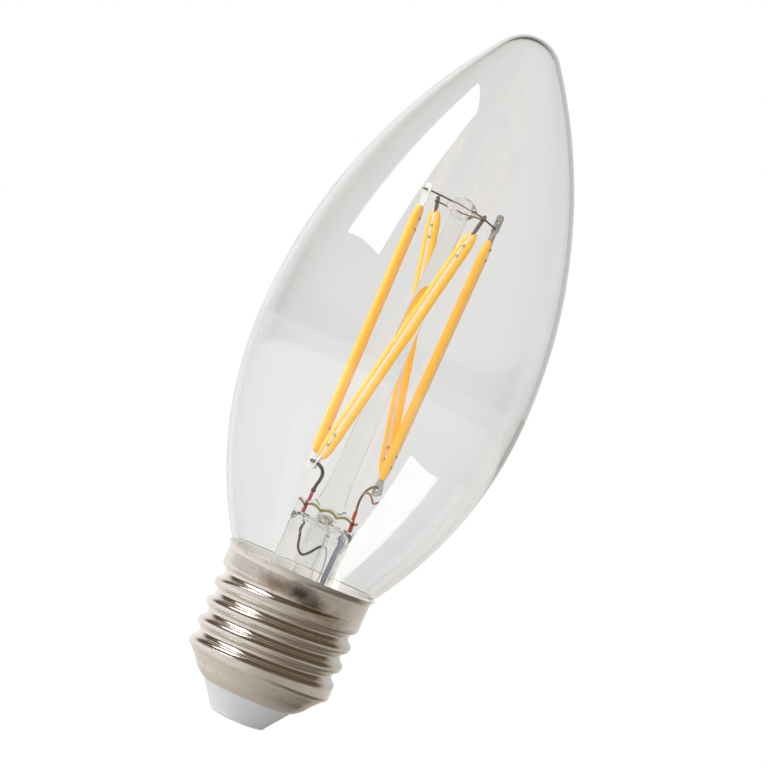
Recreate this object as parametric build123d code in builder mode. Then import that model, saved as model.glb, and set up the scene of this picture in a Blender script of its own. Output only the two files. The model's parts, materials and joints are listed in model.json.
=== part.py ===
from build123d import *
import math
import os

os.makedirs("parts", exist_ok=True)

# Sizes in mm. The bulb stands upright on its cap, with z = 0 at the face of the centre contact.

# Whole bulb and glass envelope
overall_length = 128.5
bulb_diameter = 49.8
widest_height = 67.0
tip_radius = 6.6
glass_wall = 0.8
glass_at_rim_diameter = 26.3
neck_diameter = 22.2
neck_fillet = 10.0
neck_end_height = 18.5

# Screw shell: E27 thread rolled in thin sheet
thread_crest_diameter = 26.3
thread_pitch = 3.629
thread_rounding = 1.025
sheet_thickness = 0.3
rim_height = 28.2
rim_diameter = 27.5
lip_height = 0.9
shell_base_height = 4.7
shell_hole_diameter = 16.0
thread_start_height = 9.3
groove_height = 20.8
groove_turns = (-1100, 340)
groove_fade = (140, 160)

# Insulator and centre contact
insulator_foot_diameter = 10.2
contact_diameter = 8.4
contact_proud = 0.1
contact_head = 0.6
shank_diameter = 2.8
shank_top = 3.0
bore_diameter = 3.2
insulator_floor = 6.6
collar_diameter = 15.8
collar_wall = 0.9

# Driver
board_height = 11.0
board_thickness = 1.0
board_diameter = 17.2

# Glass stem
stem_tube_diameter = 11.2
stem_wall = 0.9
flare_top = 29.5
flare_rim = 0.8
press_width = 11.4
press_depth = 4.4
press_bottom = 37.0
press_top = 40.2
exhaust_diameter = 4.0
exhaust_wall = 0.7
exhaust_end = 20.0
post_foot_diameter = 4.0
post_top_diameter = 3.1
bead_diameter = 5.0
bead_height = 3.8

# Wires
seal_wire_diameter = 0.6
seal_wire_spread = 8.0
seal_wire_bottom = 34.2
seal_wire_top = 41.3
lead_diameter = 0.5
weld_collar = 0.6
cross_wire_diameter = 0.45
shell_wire_diameter = 0.36
sleeve_diameter = 1.1

# Filaments: the right one is the left one turned half round
coat_length = 46.6
coat_height = 0.95
strip_width = 1.5
strip_thickness = 0.6
strip_end = 0.4
coat_taper = 3.2
tab_width = 1.3
tab_thickness = 0.25
pin_diameter = 0.44
pin_places = (2.7, 4.8)
left_foot = (-6.2, -0.4, 47.9)
left_head = (-6.7, -3.6)
left_edge_bearing = -24
front_foot = (-4.9, -2.7, 47.4)
front_head = (3.5, -6.3)
front_edge_bearing = -111
rear_foot = (6.2, 3.2, 48.9)
rear_head = (-4.1, 5.6)
hook_height = 46.25


def finish(builder, name):
    """Names a finished sub-part and writes its file."""
    builder.part.label = name
    export_step(builder.part, f"parts/{name}.step")


def half_turn(point):
    """The same place on the other side of the axis."""
    return (-point[0], -point[1], *point[2:])


# Glass envelope: neck, concave shoulder, two belly arcs and a round tip, all tangent
belly_r = bulb_diameter / 2
rim_glass_r = glass_at_rim_diameter / 2
neck_r = neck_diameter / 2
head_height = overall_length - widest_height
upper_r = (belly_r**2 - tip_radius**2 + (head_height - tip_radius) ** 2) / (2 * (belly_r - tip_radius))
belly_drop = widest_height - rim_height
lower_r = ((belly_r - rim_glass_r) ** 2 + belly_drop**2) / (2 * (belly_r - rim_glass_r))
upper_centre = (belly_r - upper_r, widest_height)
lower_centre = (belly_r - lower_r, widest_height)
tip_centre = (0, overall_length - tip_radius)
fillet_x = neck_r + neck_fillet
fillet_z = widest_height - math.sqrt((lower_r + neck_fillet) ** 2 - (fillet_x - lower_centre[0]) ** 2)
fillet_centre = (fillet_x, fillet_z)
tip_angle = math.degrees(math.atan2(tip_centre[1] - widest_height, -upper_centre[0]))
neck_angle = math.degrees(math.atan2(fillet_z - widest_height, fillet_x - lower_centre[0]))


def envelope_wall(inset):
    """One face of the glass from the neck's end up to the tip, as tangent arcs."""
    Line((neck_r - inset, neck_end_height), (neck_r - inset, fillet_z))
    CenterArc(fillet_centre, neck_fillet + inset, 180, neck_angle)
    CenterArc(lower_centre, lower_r - inset, neck_angle, -neck_angle)
    CenterArc(upper_centre, upper_r - inset, 0, tip_angle)
    CenterArc(tip_centre, tip_radius - inset, tip_angle, 90 - tip_angle)


with BuildPart() as glass_envelope:
    with BuildSketch(Plane.XZ):
        with BuildLine():
            envelope_wall(0)
            envelope_wall(glass_wall)
            Line((0, overall_length), (0, overall_length - glass_wall))
            Line((neck_r, neck_end_height), (neck_r - glass_wall, neck_end_height))
        make_face()
    revolve(axis=Axis.Z)
finish(glass_envelope, "glass_envelope")


# Screw shell: crest and root roundings of one radius, tangent on the flank
half_pitch = thread_pitch / 2
crest_centre = thread_crest_diameter / 2 - thread_rounding
root_centre = crest_centre + math.sqrt((2 * thread_rounding) ** 2 - half_pitch**2)
flank_angle = math.atan2(half_pitch, root_centre - crest_centre)
crest_angle = math.radians(12)
shell_r = crest_centre + thread_rounding * math.cos(crest_angle)
pitch_r = (crest_centre + root_centre) / 2
groove_lift = thread_crest_diameter / 2 - pitch_r + thread_rounding * 0.7


def crest_point(inset, angle, side):
    """Point of the crest rounding beside the groove, measured from the pitch line."""
    radius = thread_rounding - inset
    out = crest_centre + radius * math.cos(angle) - pitch_r
    return (out, side * (radius * math.sin(angle) - half_pitch))


def root_point(inset, angle, side):
    """Point of the rounding at the bottom of the groove, measured from the pitch line."""
    radius = thread_rounding + inset
    return (root_centre - radius * math.cos(angle) - pitch_r, -side * radius * math.sin(angle))


def groove_point(turn):
    """Middle of the groove at a turn in degrees; it lifts out of the sheet at both ends."""
    below = max(0, groove_turns[0] + groove_fade[0] - turn) / groove_fade[0]
    above = max(0, turn - groove_turns[1] + groove_fade[1]) / groove_fade[1]
    share = below + above
    radius = pitch_r + groove_lift * share * share * (3 - 2 * share)
    angle = math.radians(turn)
    return (radius * math.cos(angle), radius * math.sin(angle), groove_height + thread_pitch * turn / 360)


def shell_form(inset, top):
    """The solid within the shell's outer face, or within its inner face when inset by one sheet."""
    rim_r = rim_diameter / 2
    hole_r = shell_hole_diameter / 2
    bowl_r = shell_r - 2.1
    bowl_top = shell_base_height + 2.6
    with BuildPart() as form:
        with BuildSketch(Plane.XZ):
            with BuildLine():
                bowl = ThreePointArc(
                    (hole_r + 0.3, shell_base_height),
                    (hole_r + 0.6 * (bowl_r - hole_r), shell_base_height + 1.0),
                    (bowl_r, bowl_top),
                )
                Polyline(
                    bowl @ 1,
                    (shell_r - 0.8, thread_start_height - 0.6),
                    (shell_r, thread_start_height),
                    (shell_r, rim_height - lip_height),
                    (rim_r, rim_height),
                    (rim_r, rim_height + 3),
                    (-hole_r, rim_height + 3),
                    (-hole_r, shell_base_height),
                    bowl @ 0,
                )
            make_face()
            if inset:
                offset(amount=-inset, kind=Kind.INTERSECTION)
            Rectangle(rim_diameter, top, align=(Align.MIN, Align.MIN), mode=Mode.INTERSECT)
        revolve(axis=Axis.Z)
        with BuildLine() as groove:
            steps = 48
            span = groove_turns[1] - groove_turns[0]
            Spline(*[groove_point(groove_turns[0] + span * i / steps) for i in range(steps + 1)])
        start = groove.line @ 0
        outward = Vector(start.X, start.Y, 0)
        with BuildSketch(Plane(origin=start, x_dir=outward, z_dir=groove.line % 0)):
            with BuildLine():
                ends = []
                for side in (1, -1):
                    edge = crest_point(inset, crest_angle, side)
                    mouth = (
                        edge[0] + 0.12 * math.sin(crest_angle),
                        edge[1] - 0.12 * side * math.cos(crest_angle),
                    )
                    ends.append((groove_lift, mouth[1]))
                    Polyline(ends[-1], mouth, edge)
                    middle = crest_point(inset, (crest_angle + flank_angle) / 2, side)
                    ThreePointArc(edge, middle, crest_point(inset, flank_angle, side))
                flanks = [root_point(inset, flank_angle, side) for side in (1, -1)]
                ThreePointArc(flanks[0], root_point(inset, 0, 1), flanks[1])
                Line(*ends)
            make_face()
        sweep(path=groove.line, is_frenet=True, mode=Mode.SUBTRACT)
    return form.part


shell_outside = shell_form(0, rim_height)
shell_inside = shell_form(sheet_thickness, rim_height + 1)
with BuildPart() as screw_shell:
    add(shell_outside)
    add(shell_inside, mode=Mode.SUBTRACT)
    with BuildSketch(Plane.XY.offset(shell_base_height)):
        Circle(shell_hole_diameter / 2)
    extrude(amount=sheet_thickness, both=True, mode=Mode.SUBTRACT)
finish(screw_shell, "screw_shell")


# Insulator: cone below the shell, waist in the shell's hole, collar that carries the board
hole_r = shell_hole_diameter / 2
shell_floor = shell_base_height + sheet_thickness
collar_r = collar_diameter / 2
with BuildPart() as insulator:
    with BuildSketch(Plane.XZ):
        with BuildLine():
            foot_r = insulator_foot_diameter / 2
            foot = ThreePointArc(
                (foot_r - 0.5, contact_proud),
                (foot_r - 0.1, contact_proud + 0.2),
                (foot_r + 0.1, contact_proud + 0.6),
            )
            Polyline(
                foot @ 1,
                (hole_r + 0.2, shell_base_height),
                (hole_r, shell_base_height),
                (hole_r, shell_floor),
                (hole_r + 0.15, shell_floor),
                (hole_r + 0.15, insulator_floor - 0.4),
                (collar_r, insulator_floor),
                (collar_r, board_height),
                (collar_r - collar_wall, board_height),
                (collar_r - collar_wall, insulator_floor),
                (bore_diameter / 2, insulator_floor),
                (bore_diameter / 2, shank_top),
                (shank_diameter / 2, shank_top),
                (shank_diameter / 2, contact_head),
                (contact_diameter / 2, contact_head),
                (contact_diameter / 2, contact_proud),
                foot @ 0,
            )
        make_face()
    revolve(axis=Axis.Z)
finish(insulator, "insulator")

# Centre contact: flat rivet, its head let into the insulator
with BuildPart() as centre_contact:
    with BuildSketch(Plane.XY):
        Circle(contact_diameter / 2)
    extrude(amount=contact_head)
    with BuildSketch(Plane.XY.offset(contact_head)):
        Circle(shank_diameter / 2)
    extrude(amount=shank_top - contact_head)
    chamfer(centre_contact.edges().group_by(Axis.Z)[0], contact_proud)
finish(centre_contact, "centre_contact")


# Wires, each a round section along a bent path
def bent_wire(points, diameter, bend):
    """A round wire through the points, with rounded bends."""
    with BuildPart() as wire:
        with BuildLine() as path:
            if len(points) > 2:
                FilletPolyline(*points, radius=bend)
            else:
                Line(*points)
        with BuildSketch(Plane(origin=path.line @ 0, z_dir=path.line % 0)):
            Circle(diameter / 2)
        sweep(path=path.line)
    return wire


def filament_planes(foot, head, bearing):
    """Section, side and face planes of a filament: x across the coat, y along the bare edge, z up it."""
    run = math.dist(foot[:2], head)
    along = Vector(head[0] - foot[0], head[1] - foot[1], math.sqrt(coat_length**2 - run**2)).normalized()
    edge = Vector(math.cos(math.radians(bearing)), math.sin(math.radians(bearing)), 0)
    edge = (edge - along * edge.dot(along)).normalized()
    across = edge.cross(along)
    origin = Vector(*foot)
    return (
        Plane(origin=origin, x_dir=across, z_dir=along),
        Plane(origin=origin, x_dir=across, z_dir=-edge),
        Plane(origin=origin, x_dir=edge, z_dir=across),
    )


filaments = {
    "left": filament_planes(left_foot, left_head, left_edge_bearing),
    "front": filament_planes(front_foot, front_head, front_edge_bearing),
    "right": filament_planes(half_turn(left_foot), half_turn(left_head), left_edge_bearing + 180),
    "rear": filament_planes(rear_foot, rear_head, front_edge_bearing + 180),
}


def on_filament(name, height):
    """Point of a filament's middle line at a height above its foot."""
    section = filaments[name][0]
    return section.origin + section.z_dir * height


def at_height(name, height):
    """Point of a filament's middle line, or of that line drawn on, at a height above the contact's face."""
    section = filaments[name][0]
    return section.origin + section.z_dir * ((height - section.origin.Z) / section.z_dir.Z)


# Two straight cross wires join opposite filaments through the bead
upper_wire_rise = 2.3
lower_wire_rise = 2.7
upper_wire = on_filament("left", coat_length + upper_wire_rise)
lower_wire = on_filament("front", coat_length + lower_wire_rise)
cross_ends = {
    "upper_cross_wire": (upper_wire, at_height("right", upper_wire.Z)),
    "lower_cross_wire": (lower_wire, at_height("rear", lower_wire.Z)),
}
cross_wires = {}
for name, (near_hold, far_hold) in cross_ends.items():
    overrun = (far_hold - near_hold).normalized() * 0.8
    cross_wires[name] = bent_wire([near_hold - overrun, far_hold + overrun], cross_wire_diameter, 0)
    finish(cross_wires[name], name)

# Leads: red seal wire through the press, inner lead hooked through two tabs, outer lead down to the board
seal_x = seal_wire_spread / 2
inner_routes = {}
for side, x, first, second in (("left", -seal_x, "front", "left"), ("right", seal_x, "rear", "right")):
    first_hold = at_height(first, hook_height)
    second_hold = at_height(second, hook_height)
    hook = (second_hold - first_hold).normalized()
    hook_start = first_hold - hook * 1.1
    hook_end = second_hold + hook * 0.9
    inner_routes[side] = [
        (x, 0, seal_wire_top),
        (x, 0, seal_wire_top + weld_collar + 1.0),
        (hook_start.X - math.copysign(0.2, x), hook_start.Y, hook_height),
        (hook_end.X, hook_end.Y, hook_height),
    ]
board_top = board_height + board_thickness
outer_routes = {
    "left": [
        (-seal_x, 0, seal_wire_bottom),
        (-seal_x, 0, seal_wire_bottom - 0.9),
        (-1.4, -2.9, 31.2),
        (1.3, -3.0, 33.6),
        (2.4, -3.2, 29.0),
        (3.0, -4.6, 20.0),
        (3.0, -4.6, board_top),
    ],
    "right": [
        (seal_x, 0, seal_wire_bottom),
        (seal_x, 0, 27.0),
        (5.6, 0.6, 16.0),
        (5.6, 0.6, board_top),
    ],
}
inner_leads = {}
seal_wires = {}
for side in ("left", "right"):
    x = inner_routes[side][0][0]
    seal_wires[side] = bent_wire([(x, 0, seal_wire_bottom), (x, 0, seal_wire_top)], seal_wire_diameter, 0)
    finish(seal_wires[side], f"{side}_seal_wire")
    lead = bent_wire(inner_routes[side], lead_diameter, 0.7)
    with BuildPart() as inner_lead:
        add(lead.part)
        with BuildSketch(Plane.XY.offset(seal_wire_top)):
            with Locations((x, 0)):
                Circle(seal_wire_diameter * 0.7)
        extrude(amount=weld_collar)
    inner_leads[side] = inner_lead
    finish(inner_lead, f"{side}_inner_lead")
    outer_lead = bent_wire(outer_routes[side], lead_diameter, 0.7)
    finish(outer_lead, f"{side}_outer_lead")

# Sleeve on the right outer lead
sleeve_route = outer_routes["right"]
sleeve_foot = Vector(*sleeve_route[1]) + (Vector(*sleeve_route[2]) - Vector(*sleeve_route[1])) * 0.85
with BuildPart() as lead_sleeve:
    with BuildLine() as path:
        FilletPolyline((seal_x, 0, seal_wire_bottom - 0.6), sleeve_route[1], sleeve_foot, radius=0.7)
    with BuildSketch(Plane(origin=path.line @ 0, z_dir=path.line % 0)):
        Circle(sleeve_diameter / 2)
        Circle(lead_diameter / 2, mode=Mode.SUBTRACT)
    sweep(path=path.line)
finish(lead_sleeve, "lead_sleeve")


# Glass stem: flare, tube, press, exhaust tube, post and bead, fused round its wires
flare_r = neck_r - glass_wall
tube_r = stem_tube_diameter / 2
flare_start = neck_end_height + flare_rim
flare_run = flare_r - tube_r
flare_arc = (flare_run**2 + (flare_top - flare_start) ** 2) / (2 * flare_run)
flare_centre = (tube_r + flare_arc, flare_top)
flare_angle = math.degrees(math.asin((flare_top - flare_start) / flare_arc))
inner_arc = flare_arc + stem_wall
inner_angle = math.degrees(math.asin((flare_top - neck_end_height) / inner_arc))
inner_foot_r = flare_centre[0] - inner_arc * math.cos(math.radians(inner_angle))
tube_top = press_bottom - 3.0
bead_middle = (upper_wire.Z + lower_wire.Z) / 2
bead_foot = bead_middle - bead_height / 2
bead_top = bead_foot + bead_height
bead_r = bead_diameter / 2
bead_swell = bead_r - post_top_diameter / 2
bead_crown = bead_r * 0.48
exhaust_r = exhaust_diameter / 2
with BuildPart() as glass_stem:
    with BuildSketch(Plane.XZ):
        with BuildLine():
            CenterArc(flare_centre, flare_arc, 180, flare_angle)
            CenterArc(flare_centre, inner_arc, 180, inner_angle)
            Polyline((tube_r, flare_top), (tube_r, tube_top), (tube_r - stem_wall, tube_top))
            Line((tube_r - stem_wall, tube_top), (tube_r - stem_wall, flare_top))
            Polyline((flare_r, flare_start), (flare_r, neck_end_height), (inner_foot_r, neck_end_height))
        make_face()
    revolve(axis=Axis.Z)
    with BuildSketch(Plane.XY.offset(tube_top)):
        Circle(tube_r)
    with BuildSketch(Plane.XY.offset(press_bottom)):
        RectangleRounded(press_width, press_depth, press_depth * 0.4)
    loft()
    with BuildSketch(Plane.XY.offset(press_bottom)):
        RectangleRounded(press_width, press_depth, press_depth * 0.4)
    extrude(amount=press_top - press_bottom)
    fillet(glass_stem.edges().group_by(Axis.Z)[-1], 0.8)
    with BuildSketch(Plane.XY.offset(tube_top)):
        Circle(tube_r - stem_wall)
    with BuildSketch(Plane.XY.offset(press_bottom - 0.4)):
        Ellipse(press_width / 2 - stem_wall, press_depth / 5)
    loft(mode=Mode.SUBTRACT)
    with BuildSketch(Plane.XZ):
        with BuildLine():
            tip = CenterArc((0, exhaust_end + exhaust_r), exhaust_r, -90, 90)
            Polyline(tip @ 1, (exhaust_r, press_bottom), (0, press_bottom), tip @ 0)
        make_face()
        with BuildLine():
            post_foot = (post_foot_diameter / 2, press_top + 4.5)
            post_head = (post_top_diameter / 2, bead_foot)
            Polyline((post_foot[0] + 0.2, press_top - 0.6), post_foot, post_head)
            under = CenterArc((post_head[0], bead_foot + bead_swell), bead_swell, -90, 90)
            crown = CenterArc((bead_r - bead_crown, bead_top - bead_crown), bead_crown, 0, 90)
            Line(under @ 1, crown @ 0)
            Polyline(crown @ 1, (0, bead_top), (0, press_top - 0.6), (post_foot[0] + 0.2, press_top - 0.6))
        make_face()
    revolve(axis=Axis.Z)
    with BuildSketch(Plane.XY.offset(exhaust_end + exhaust_r)):
        Circle(exhaust_r - exhaust_wall)
    extrude(amount=press_bottom + 1.6 - exhaust_end - exhaust_r, mode=Mode.SUBTRACT)
    with BuildSketch(Plane.XZ):
        with Locations((0, press_bottom + 1.0)):
            Circle(0.6)
    extrude(amount=press_depth, mode=Mode.SUBTRACT)
    for wire in (*cross_wires.values(), *seal_wires.values()):
        add(wire.part, mode=Mode.SUBTRACT)
finish(glass_stem, "glass_stem")

# Cement between the shoulder of the glass and the shell, level with the rim
cement_bottom = rim_height - 2.6
inner_r = shell_r - sheet_thickness
skirt_line = Vector(rim_diameter / 2 - shell_r, lip_height)
lip_foot = rim_height - lip_height + sheet_thickness * (skirt_line.length - skirt_line.Y) / skirt_line.X
lip_top_r = inner_r + (rim_height - lip_foot) * skirt_line.X / skirt_line.Y
shell_wire_bearing = math.radians(-77)
shell_wire_r = inner_r - shell_wire_diameter / 2
gap_r = (neck_r + root_centre - thread_rounding - sheet_thickness) / 2
shell_wire_route = [
    (board_diameter / 2 - 0.5, board_top),
    (board_diameter / 2 - 0.5, board_top + 1.4),
    (gap_r, board_top + 1.4),
    (gap_r, rim_height - 5.6),
    (shell_wire_r, rim_height - 2.3),
    (shell_wire_r, rim_height - 1.0),
]
shell_wire = bent_wire(
    [(r * math.cos(shell_wire_bearing), r * math.sin(shell_wire_bearing), z) for r, z in shell_wire_route],
    shell_wire_diameter,
    0.4,
)
finish(shell_wire, "shell_wire")
with BuildPart() as cement_ring:
    with BuildSketch(Plane.XZ):
        with BuildLine():
            Polyline(
                (0, cement_bottom),
                (inner_r, cement_bottom),
                (inner_r, lip_foot),
                (lip_top_r, rim_height),
                (0, rim_height),
                close=True,
            )
        make_face()
        with BuildLine():
            envelope_wall(0)
            Polyline((0, overall_length), (0, neck_end_height), (neck_r, neck_end_height))
        make_face(mode=Mode.SUBTRACT)
    revolve(axis=Axis.Z)
    add(shell_wire.part, mode=Mode.SUBTRACT)
finish(cement_ring, "cement_ring")


# Filaments: strip with a metal tab clamped in each end, and a bead of phosphor on both sides
def filament_tab(face, foot_up, reach, holder):
    """A tab at the strip's end, with a tongue and two pins inside the strip and a hole for its wire."""
    base = 0 if foot_up else coat_length
    sign = 1 if foot_up else -1
    with BuildPart() as tab:
        with BuildSketch(face):
            with BuildLine():
                pins = [base + sign * place for place in pin_places]
                end = base - sign * strip_end
                Polyline(
                    (tab_width / 2, base - sign * (reach - 0.3)),
                    (tab_width / 2, end),
                    (strip_width / 3, end),
                    (strip_width / 3, pins[0]),
                    (strip_width / 2, pins[0]),
                    (strip_width / 2, pins[1]),
                    (-strip_width / 2, pins[1]),
                    (-strip_width / 2, pins[0]),
                    (-strip_width / 3, pins[0]),
                    (-strip_width / 3, end),
                    (-tab_width / 2, end),
                    (-tab_width / 2, base - sign * (reach - 0.3)),
                    (-tab_width / 2 + 0.3, base - sign * reach),
                    (tab_width / 2 - 0.3, base - sign * reach),
                    close=True,
                )
            make_face()
        extrude(amount=tab_thickness / 2, both=True)
        for place in pins:
            side = Plane(origin=face.from_local_coords((0, place, 0)), z_dir=face.x_dir)
            with BuildSketch(side):
                Circle(pin_diameter / 2)
            extrude(amount=strip_width / 2 + 0.05, both=True)
        add(holder.part, mode=Mode.SUBTRACT)
    return tab


tab_reach = {"left": (3.0, 3.6), "front": (2.2, 3.6), "right": (3.0, 3.6), "rear": (3.8, 2.5)}
half_strip = strip_thickness / 2
for name, (section, side_plane, face) in filaments.items():
    lead = inner_leads["left" if name in ("left", "front") else "right"]
    wire = cross_wires["upper_cross_wire" if name in ("left", "right") else "lower_cross_wire"]
    foot_reach, head_reach = tab_reach[name]
    bottom_tab = filament_tab(face, True, foot_reach, lead)
    top_tab = filament_tab(face, False, head_reach, wire)
    finish(bottom_tab, f"{name}_filament_bottom_tab")
    finish(top_tab, f"{name}_filament_top_tab")
    with BuildPart() as strip:
        with BuildSketch(section.offset(-strip_end)):
            Rectangle(strip_thickness, strip_width)
        extrude(amount=coat_length + 2 * strip_end)
        add(bottom_tab.part, mode=Mode.SUBTRACT)
        add(top_tab.part, mode=Mode.SUBTRACT)
    finish(strip, f"{name}_filament_strip")
    with BuildPart() as coat:
        with BuildSketch(section):
            for out in (1, -1):
                with BuildLine():
                    bead = ThreePointArc(
                        (out * half_strip, -strip_width / 2),
                        (out * (half_strip + coat_height), 0),
                        (out * half_strip, strip_width / 2),
                    )
                    Line(bead @ 1, bead @ 0)
                make_face()
        extrude(amount=coat_length)
        with BuildSketch(side_plane):
            with BuildLine():
                for out in (1, -1):
                    low, high = out * (half_strip + 0.15), out * (half_strip + coat_height)
                    swell = low + 0.62 * (high - low)
                    ThreePointArc((low, 0), (swell, 0.35 * coat_taper), (high, coat_taper))
                    Line((high, coat_taper), (high, coat_length - coat_taper))
                    top = coat_length - 0.35 * coat_taper
                    ThreePointArc((high, coat_length - coat_taper), (swell, top), (low, coat_length))
                end = half_strip + 0.15
                Line((end, 0), (-end, 0))
                Line((end, coat_length), (-end, coat_length))
            make_face()
        extrude(amount=strip_width, both=True, mode=Mode.INTERSECT)
    finish(coat, f"{name}_filament_coat")


# Driver: round board on the insulator's collar, with its components
with BuildPart() as driver_board:
    with BuildSketch(Plane.XY.offset(board_height)):
        Circle(board_diameter / 2)
    extrude(amount=board_thickness)
finish(driver_board, "driver_board")


def chip_package(centre, length, width, height, leg_count):
    """A moulded chip body on gull-wing legs along its two long sides."""
    with BuildPart() as package:
        with BuildSketch(Plane.XY.offset(board_top + 0.1)):
            with Locations(centre):
                Rectangle(length, width)
        extrude(amount=height)
        chamfer(package.edges().group_by(Axis.Z)[-1], 0.2)
        with BuildSketch(Plane.XY.offset(board_top)):
            with Locations(centre):
                with GridLocations(length / leg_count, width + 0.6, leg_count, 2):
                    Rectangle(0.5, 1.2)
        extrude(amount=0.3)
    return package


bridge_rectifier = chip_package((3.2, 5.0), 4.7, 3.4, 1.4, 2)
finish(bridge_rectifier, "bridge_rectifier")
driver_chip = chip_package((-3.4, -4.0), 4.9, 3.6, 1.5, 4)
finish(driver_chip, "driver_chip")

capacitor_r = 2.5
capacitor_height = 5.5
capacitor_place = Plane(origin=(-4.2, 3.6, board_top), x_dir=(1, 0, 0), z_dir=(0, -1, 0))
with BuildPart() as smoothing_capacitor:
    with BuildSketch(capacitor_place):
        with BuildLine():
            Polyline((0, 0), (capacitor_r, 0), (capacitor_r, 0.9))
            ThreePointArc((capacitor_r, 0.9), (capacitor_r - 0.25, 1.2), (capacitor_r, 1.5))
            Polyline(
                (capacitor_r, 1.5),
                (capacitor_r, capacitor_height - 0.3),
                (capacitor_r - 0.3, capacitor_height),
                (0, capacitor_height),
                (0, 0),
            )
        make_face()
    revolve(axis=Axis(capacitor_place.origin, (0, 0, 1)))
finish(smoothing_capacitor, "smoothing_capacitor")

# Fusible resistor, upright between the contact's shank and the board
with BuildPart() as fuse_resistor:
    with BuildSketch(Plane.XZ):
        with BuildLine():
            wire_r, body_r = 0.3, bore_diameter / 2 - 0.4
            body_foot, body_top = shank_top + 0.8, board_height - 1.2
            Polyline(
                (0, shank_top),
                (wire_r, shank_top),
                (wire_r, body_foot),
                (body_r - 0.3, body_foot),
                (body_r, body_foot + 0.3),
                (body_r, body_top - 0.3),
                (body_r - 0.3, body_top),
                (wire_r, body_top),
                (wire_r, board_height),
                (0, board_height),
                close=True,
            )
        make_face()
    revolve(axis=Axis.Z)
finish(fuse_resistor, "fuse_resistor")
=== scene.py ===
import json
import math

import bpy
import numpy as np
from mathutils import Matrix, Vector


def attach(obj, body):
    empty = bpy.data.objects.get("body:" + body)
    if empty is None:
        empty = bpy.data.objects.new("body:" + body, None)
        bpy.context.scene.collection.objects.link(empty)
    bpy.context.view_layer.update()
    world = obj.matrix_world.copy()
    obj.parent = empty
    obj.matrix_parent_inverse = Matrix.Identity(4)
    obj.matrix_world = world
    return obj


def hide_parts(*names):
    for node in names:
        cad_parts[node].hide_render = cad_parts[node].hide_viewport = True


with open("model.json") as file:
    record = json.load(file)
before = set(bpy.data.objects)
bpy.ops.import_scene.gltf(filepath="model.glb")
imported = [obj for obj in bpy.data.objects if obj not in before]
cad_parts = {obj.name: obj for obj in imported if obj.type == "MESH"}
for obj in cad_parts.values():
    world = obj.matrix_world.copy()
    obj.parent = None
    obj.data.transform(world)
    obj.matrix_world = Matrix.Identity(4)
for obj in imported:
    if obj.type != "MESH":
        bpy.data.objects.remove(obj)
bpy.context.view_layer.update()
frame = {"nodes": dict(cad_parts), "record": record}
nodes = frame["nodes"]

MM = 0.001
TAU = 2 * math.pi

# Sizes in mm, as the solids have them
overall_length, bulb_radius, widest_height, tip_radius = 128.5, 24.9, 67.0, 6.6
glass_wall, rim_glass_radius, neck_radius, neck_fillet, neck_end = 0.8, 13.15, 11.1, 10.0, 18.5
crest_radius, pitch, rounding, sheet = 13.15, 3.629, 1.025, 0.3
rim_height, rim_radius, lip_height = 28.2, 13.75, 0.9
base_height, hole_radius, thread_start = 4.7, 8.0, 9.3
groove_height, groove_turns, groove_fade = 20.8, (-1100.0, 340.0), (140.0, 160.0)
coat_length, coat_height, strip_width, strip_thickness, coat_taper = 46.6, 0.95, 1.5, 0.6, 3.2
tube_radius, stem_wall, flare_top, flare_start = 5.6, 0.9, 29.5, 19.3
upper_wire_rise, lower_wire_rise = 2.3, 2.7

# Sizes in mm that only the looks have: where the leads hook the filaments, and scallops on the pressed head's edge
hook_height = 46.3
lobe_width, lobe_lift, lobe_shift = 3.0, 0.6, 0.3

# Depths of bumps in m: grain of a finish, waves in glass, lines turned in the nickel
grain_depth, wave_depth, line_depth = 0.00005, 0.0005, 0.00002


# Surfaces from whole arrays

def smooth_step(x):
    """Goes from 0 to 1 as x does, flat at both ends: three x squared less two x cubed."""
    x = np.clip(x, 0, 1)
    return x * x * (3 - 2 * x)


def arc(centre, radius, start, end, count):
    """Points at even angles on a circle, in degrees from start to end."""
    a = np.radians(np.linspace(start, end, count))
    return np.stack([centre[0] + radius * np.cos(a), centre[1] + radius * np.sin(a)], -1)


def along(points, step):
    """Points spaced evenly along a run of straight pieces, at most one step apart."""
    points = np.asarray(points, float)
    lengths = np.r_[0, np.cumsum(np.linalg.norm(np.diff(points, axis=0), axis=1))]
    at = np.linspace(0, lengths[-1], max(2, int(math.ceil(lengths[-1] / step)) + 1))
    return np.stack([np.interp(at, lengths, points[:, k]) for k in range(points.shape[1])], -1)


def skin(rings, start=None, end=None, loop=False):
    """Stacked closed rings: quads between each ring and the next, with fans to an end point or the last ring joined
    to the first."""
    rows, cols = rings.shape[:2]
    i, j = np.meshgrid(np.arange(rows if loop else rows - 1), np.arange(cols), indexing="ij")
    up, right = (i + 1) % rows, (j + 1) % cols
    quads = np.stack([i * cols + j, i * cols + right, up * cols + right, up * cols + j], -1).reshape(-1, 4)
    verts, fans = [rings.reshape(-1, 3)], [np.zeros((0, 3), int)]
    j = np.arange(cols)
    right = (j + 1) % cols
    count = rows * cols
    if start is not None:
        verts.append(np.asarray(start, float).reshape(1, 3))
        fans.append(np.stack([np.full(cols, count), right, j], -1))
        count += 1
    if end is not None:
        last = (rows - 1) * cols
        verts.append(np.asarray(end, float).reshape(1, 3))
        fans.append(np.stack([np.full(cols, count), last + j, last + right], -1))
    return np.concatenate(verts), quads, np.concatenate(fans)


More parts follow.
